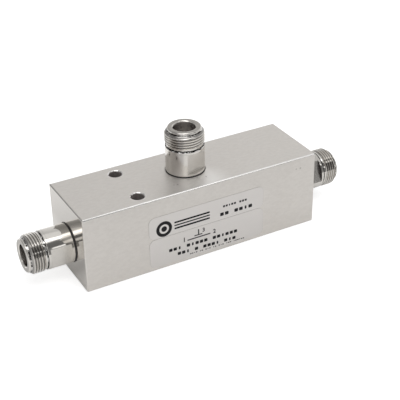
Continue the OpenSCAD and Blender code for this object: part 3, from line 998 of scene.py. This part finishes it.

# %% [markdown]
# ### Turned metals
#
# A lathe leaves rings around the axis. Their coordinate is the height along the axis plus the distance from
# it, which draws rings on the cylinders and on the end faces alike. A Mapping node carries each jack's own
# axis to Z. Nickel is close to a mirror, and brass and silver are softer. Every zone of a turned shell is
# known by its height and radius: the mouth is duller and painted darker, the milled flats are a little
# coarser, the thread's roots and the ledge at the end of the flats get painted shade, the nose face is
# painted darker, and the groove and the undercut get painted shade broken by small painted highlights. The
# tap's shell has one darker upright band, a painted reflection.

# %% A jack's own coordinates
def own_place(tree, side):
    """Millimetres on a jack's own axes, the height along its axis and the distance from it."""
    seat, lean, _ = SEATS[side]
    mapping = node(
        tree, "ShaderNodeMapping",
        {"Vector": node(tree, "ShaderNodeTexCoord").outputs["Object"],
         "Location": Vector(seat) * MM, "Rotation": (0, math.radians(lean), 0)},
        vector_type="TEXTURE",
    )
    own = vector_calc(tree, "MULTIPLY", mapping.outputs["Vector"], (1 / MM,) * 3)
    height = node(tree, "ShaderNodeSeparateXYZ", {0: own}).outputs["Z"]
    radius = vector_calc(tree, "LENGTH", vector_calc(tree, "MULTIPLY", own, (1, 1, 0)))
    return own, height, radius


# %% Zones of a jack's shell
def shell_zones(tree, side, own, height, radius):
    """The share of each zone of a shell that has a finish, painted light or painted shade of its own."""
    turn = math.radians(SEATS[side][2])
    off_axis = vector_calc(tree, "DOT_PRODUCT", own, (-math.sin(turn), math.cos(turn), 0))
    lip = 0.22 if side == "tap" else 0.03  # The groove's painted shade reaches this far onto the body
    undercut = within(tree, height, NOSE_START - 0.03, NOSE_START + 0.36, 0.02, 0.06)
    return {
        "root": product(
            tree, within(tree, height, THREAD_START, NOSE_START, 0.1),
            fade(tree, radius, THREAD_R - 0.1, THREAD_ROOT_R + 0.1),
        ),
        "mouth": product(
            tree, fade(tree, height, JACK_REACH - 0.4, JACK_REACH - 0.45),
            fade(tree, radius, 4.6, 4.5), fade(tree, height, 9.0, 9.5),
        ),
        "nose face": product(
            tree, fade(tree, height, JACK_REACH - 0.03, JACK_REACH - 0.01), fade(tree, radius, 4.7, 4.8),
        ),
        "groove": within(tree, height, GROOVE_START - lip, COLLAR_START + 0.03, 0.02),
        "undercut": product(tree, undercut, fade(tree, radius, 5.0, 5.5)),
        "ledge": within(tree, height, FLAT_END - 0.01, FLAT_END + 0.01, 0.02),
        "flat": product(
            tree, fade(tree, calc(tree, "ABSOLUTE", off_axis), FLATS / 2 - 0.04, FLATS / 2 - 0.02),
            within(tree, height, FLAT_START + 0.05, FLAT_END - 0.05, 0.05),
        ),
    }


# %% Tones of a jack's shell
# Painted shade inside the mouth, darker on the two line jacks
MOUTH_SHADES = {"input": (0.33, 0.315, 0.3), "output": (0.33, 0.315, 0.3), "tap": (0.6, 0.575, 0.555)}
REFLECTION_BAND_SIDE = (-0.788, -0.616, 0)


def shell_shading(tree, side, own, zones, tone):
    """Lays the painted shade, highlights and reflection of a shell's zones over its plating."""
    # A darker upright band on the tap's shell: a painted reflection
    if side == "tap":
        outwards = vector_calc(tree, "NORMALIZE", vector_calc(tree, "MULTIPLY", own, (1, 1, 0)))
        facing = vector_calc(tree, "DOT_PRODUCT", outwards, REFLECTION_BAND_SIDE)
        tone = toned(tree, tone, fade(tree, facing, 0.9, 0.985, 0.0, 0.9), (0.47, 0.445, 0.425))
    # The groove and the undercut get painted shade, broken by small painted highlights
    unlit = fade(tree, grain(tree, own, 1.0, 2.0), 0.54, 0.52)
    painted_glints_and_shade = mix_colours(tree, unlit, PAINTED_HIGHLIGHT, (0.04, 0.036, 0.036))
    recess = calc(tree, "MAXIMUM", zones["groove"], zones["undercut"])
    for share, colour, strength in (
        # Painted shade in the thread's roots
        (zones["root"], (0.26, 0.25, 0.24), 0.8),
        (zones["mouth"], MOUTH_SHADES[side], 0.9),
        # Painted shade on the nose face, which reflects darker
        (zones["nose face"], (0.38, 0.36, 0.33), 0.85),
        (recess, painted_glints_and_shade, 0.95),
        # Painted shade on the ledge at the end of the flats
        (zones["ledge"], (0.04, 0.035, 0.035), 1.0),
    ):
        tone = toned(tree, tone, share, colour, strength)
    return tone


# %% Turned metals
def turned_metal(name, side, colour, deeper, roughness, ring_depth, shell=False):
    """Bare or plated metal with turning rings. On a shell it follows the zones too."""
    material, tree, shader = new_finish(name, Metallic=1.0)
    own, height, radius = own_place(tree, side)
    along, across = calc(tree, "ADD", height, radius), calc(tree, "MULTIPLY", radius, 0.2)
    lines = grain(tree, node(tree, "ShaderNodeCombineXYZ", {0: along, 1: across}).outputs[0], 6.0, 3.0, 0.6)
    haze = grain(tree, own, 0.45, 3.0, 0.6)
    tone = mix_colours(tree, haze, colour, deeper)
    rough = calc(tree, "ADD", fade(tree, lines, 0.3, 0.75, roughness * 0.8, roughness * 1.25),
                 fade(tree, haze, 0.3, 0.75, -roughness * 0.15, roughness * 0.2))
    if shell:
        zones = shell_zones(tree, side, own, height, radius)
        tone = shell_shading(tree, side, own, zones, tone)
        rough = calc(tree, "MULTIPLY_ADD", zones["mouth"], 0.14, rough)
        rough = calc(tree, "MULTIPLY_ADD", zones["flat"], 0.16, rough)
    tree.links.new(tone, shader.inputs["Base Color"])
    tree.links.new(rough, shader.inputs["Roughness"])
    relief(tree, shader, lines, ring_depth)
    return material


nickel, silver, brass = {}, {}, {}
for side in SEATS:
    nickel[side] = turned_metal(
        "bright_nickel_" + side, side, (0.81, 0.782, 0.738), (0.75, 0.722, 0.68),
        0.17 if side == "tap" else 0.09, 0.0006, shell=True,
    )
    silver[side] = turned_metal(
        "silver_plate_" + side, side, (0.9, 0.88, 0.84), (0.8, 0.77, 0.72), 0.18, 0.001,
    )
    brass[side] = turned_metal(
        "turned_brass_" + side, side, (0.78, 0.6, 0.28), (0.66, 0.48, 0.2), 0.24, 0.002,
    )
print("turned metals:", len(nickel) + len(silver) + len(brass))

# %% [markdown]
# ### Rubber, insulation, film and ink
#
# Rubber is nearly black with a soft shine and a fine pebble. The insulator is waxy white with faint
# scratches. The film is silvery and satin with a darker cut edge, and the ink lies on it a little unevenly.
# Film and ink differ only in their values, so one function makes them.

# %% Rubber
def seal_rubber():
    """Nearly black rubber with a fine pebble and a little dust."""
    material, tree, shader = new_finish("seal_rubber")
    place = millimetres(tree)
    pebble = grain(tree, place, 5.0, 3.0)
    dust = grain(tree, place, 0.6, 4.0)
    tone = mix_colours(tree, dust, (0.028, 0.026, 0.026), (0.06, 0.056, 0.054))
    tree.links.new(tone, shader.inputs["Base Color"])
    tree.links.new(fade(tree, pebble, 0.3, 0.7, 0.32, 0.5), shader.inputs["Roughness"])
    relief(tree, shader, pebble, 0.01)
    return material


# %% Insulation
def waxy_insulation():
    """Waxy white plastic with faint scratches."""
    material, tree, shader = new_finish("waxy_insulation", IOR=1.36)
    place = millimetres(tree)
    cloud = grain(tree, place, 0.5, 3.0)
    tone = mix_colours(tree, cloud, (0.86, 0.85, 0.8), (0.93, 0.92, 0.89))
    tree.links.new(tone, shader.inputs["Base Color"])
    scratch = grain(tree, place, 4.0, 2.0)
    tree.links.new(fade(tree, scratch, 0.3, 0.7, 0.35, 0.5), shader.inputs["Roughness"])
    relief(tree, shader, scratch, 0.004)
    return material


# %% Film, its cut edge and ink
def silver_film(name, colour, deeper, metallic, roughness, **constants):
    """A thin satin layer, cloudy along its length and finely specked."""
    material, tree, shader = new_finish(name, Metallic=metallic, **constants)
    place = millimetres(tree)
    cloud = grain(tree, stretched(tree, place, (0.06, 0.2, 0.2)), 1.0, 4.0)
    speck = grain(tree, place, 9.0, 2.0)
    tree.links.new(mix_colours(tree, cloud, colour, deeper), shader.inputs["Base Color"])
    tree.links.new(fade(tree, speck, 0.3, 0.7, roughness * 0.9, roughness * 1.12), shader.inputs["Roughness"])
    relief(tree, shader, speck, 0.002)
    return material


rubber = seal_rubber()
insulation = waxy_insulation()
film = silver_film("silver_film", (0.75, 0.722, 0.697), (0.785, 0.756, 0.73), 0.85, 0.37)
film_edge = silver_film("film_cut_edge", (0.5, 0.48, 0.46), (0.56, 0.54, 0.52), 0.4, 0.5)
ink = silver_film("dark_ink", (0.01, 0.0095, 0.011), (0.02, 0.019, 0.021), 0.0, 0.5, IOR=1.25)
print("soft finishes made")

# %% [markdown]
# ## Dressing
#
# Each new piece gets its finish, rides on the one body of the part, and hides the CAD nodes that it
# stands for. The CAD nodes that stay visible get finishes too.

# %% Give a piece its finish
def dress(piece, material, slot_name, *nodes):
    """Finish, body and hidden CAD nodes of a new piece. The slot name is not used."""
    piece.data.materials.clear()
    piece.data.materials.append(material)
    for face in piece.data.polygons:
        face.material_index = 0
    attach(piece, "root")
    if nodes:
        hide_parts(*nodes)


# %% Dress the jacks
for side in SEATS:
    dress(pieces[side + "_shell"], nickel[side], "jack_plating", side + "_jack_shell")
    dress(pieces[side + "_rubber_ring"], rubber, "seal_rubber", side + "_seal")
    dress(pieces[side + "_insulation"], insulation, "insulator", side + "_insulator")
    dress(pieces[side + "_socket"], silver[side], "contact_plating", side + "_contact")
print("jacks dressed:", ", ".join(SEATS))

# %% Dress the labels and their print
for which in LABELS:
    label = pieces[which + "_film"]
    dress(label, film, "label_film", which + "_label")
    label.data.materials.append(film_edge)
    for face in label.data.polygons:
        printed_side = face.normal.y < -0.9 and len(face.vertices) > 20
        face.material_index = 0 if printed_side else 1
for name, piece in pieces.items():
    if name.startswith("ink_"):
        on_upper = min(corner[2] for corner in piece.bound_box) > LABEL_SEAM * MM
        dress(piece, ink, "label_film", "upper_label" if on_upper else "lower_label")
print("dressed", len(pieces), "new pieces")


# %% Give the CAD nodes their finish
def dress_node(name, material):
    """A CAD node keeps its shape and only changes its material."""
    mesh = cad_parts[name].data
    mesh.materials.clear()
    mesh.materials.append(material)


dress_node("housing", aluminium)
for side in SEATS:
    dress_node(side + "_retaining_ring", brass[side])
dress_node("input_transformer_rod", silver["input"])
dress_node("output_line_rod", silver["output"])
dress_node("tee_junction", silver["output"])
dress_node("tap_rod", silver["tap"])
for name in ("input_support_bead", "output_support_bead"):
    dress_node(name, insulation)
print("the CAD nodes that stay visible have their finish")

# %% [markdown]
# ## Finish

# %% Finish
free_hands()
